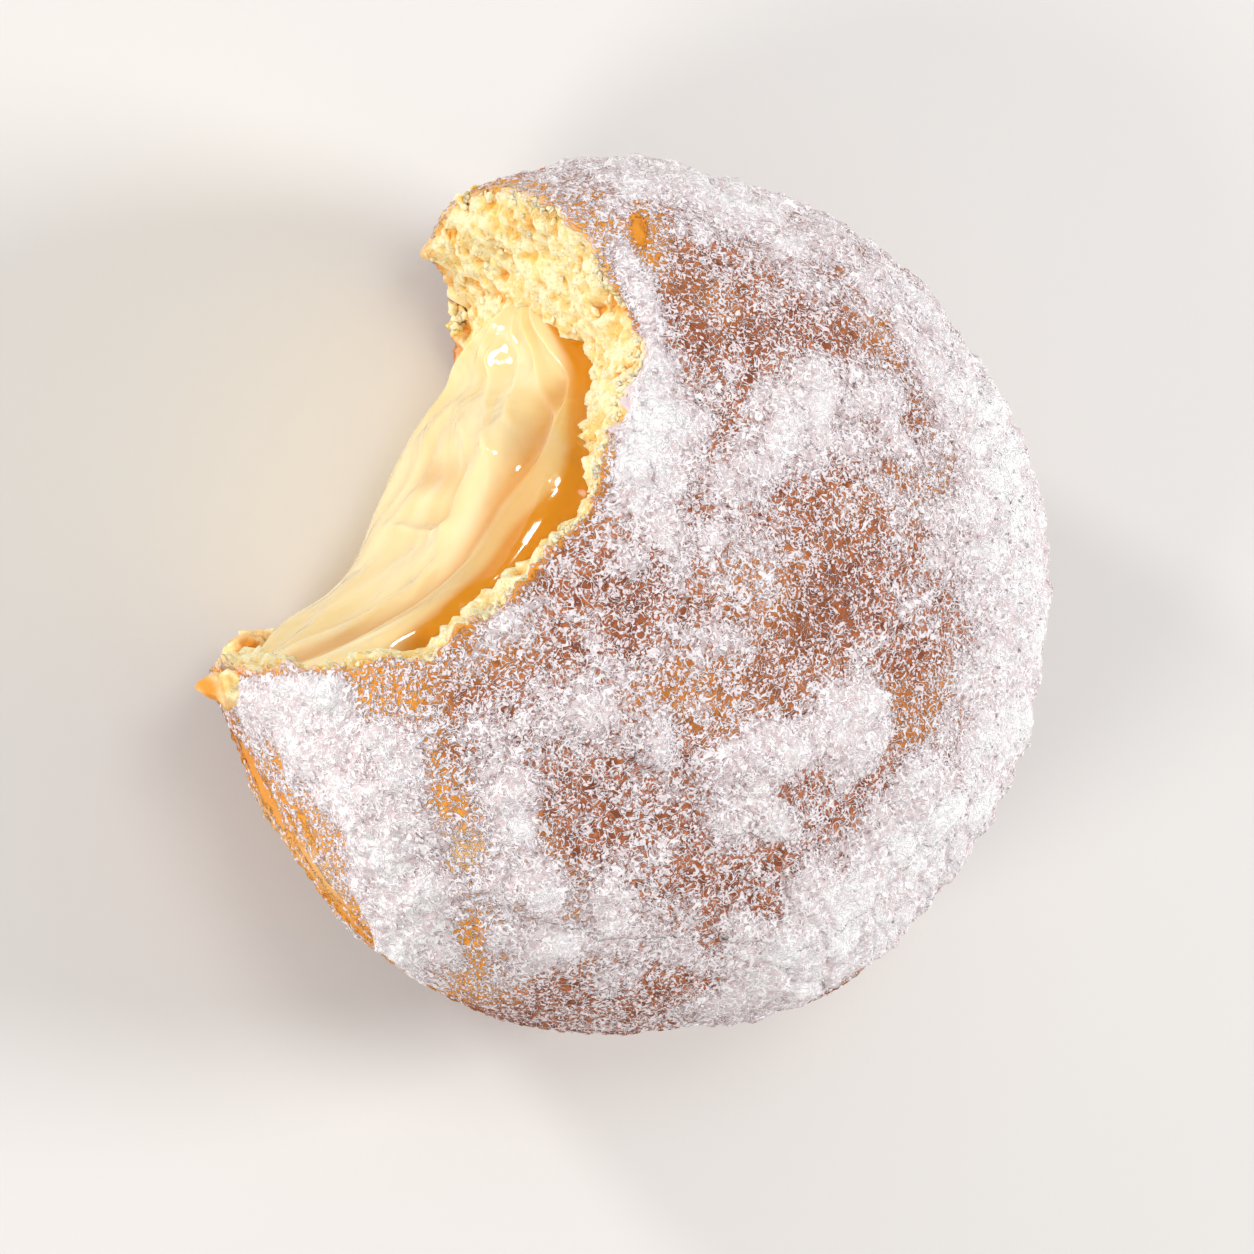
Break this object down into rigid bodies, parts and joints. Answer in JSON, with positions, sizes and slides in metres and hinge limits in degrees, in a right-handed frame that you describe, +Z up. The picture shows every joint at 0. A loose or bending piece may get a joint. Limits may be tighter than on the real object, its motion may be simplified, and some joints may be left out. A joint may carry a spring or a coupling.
{
  "type": "filled doughnut",
  "caption": "Round custard-filled doughnut dusted with powdered sugar, with one large bite out of its side that shows the crumb and the custard.",
  "frame": {"origin": "middle of the flat foot, on the doughnut's own upright axis, level with the surface it lies on", "axes": "+Z up through the doughnut's thickness, the bite towards -X and a little towards +Y"},
  "size_m": [0.088, 0.0879, 0.0485],
  "materials": {
    "dough": "fried crust under a rough coat of powdered sugar, pale yellow porous crumb at the bite",
    "custard": "smooth, wet, pale yellow custard"
  },
  "bodies": {
    "root": {"dough": "dough", "custard": "custard"}
  },
  "joints": []
}
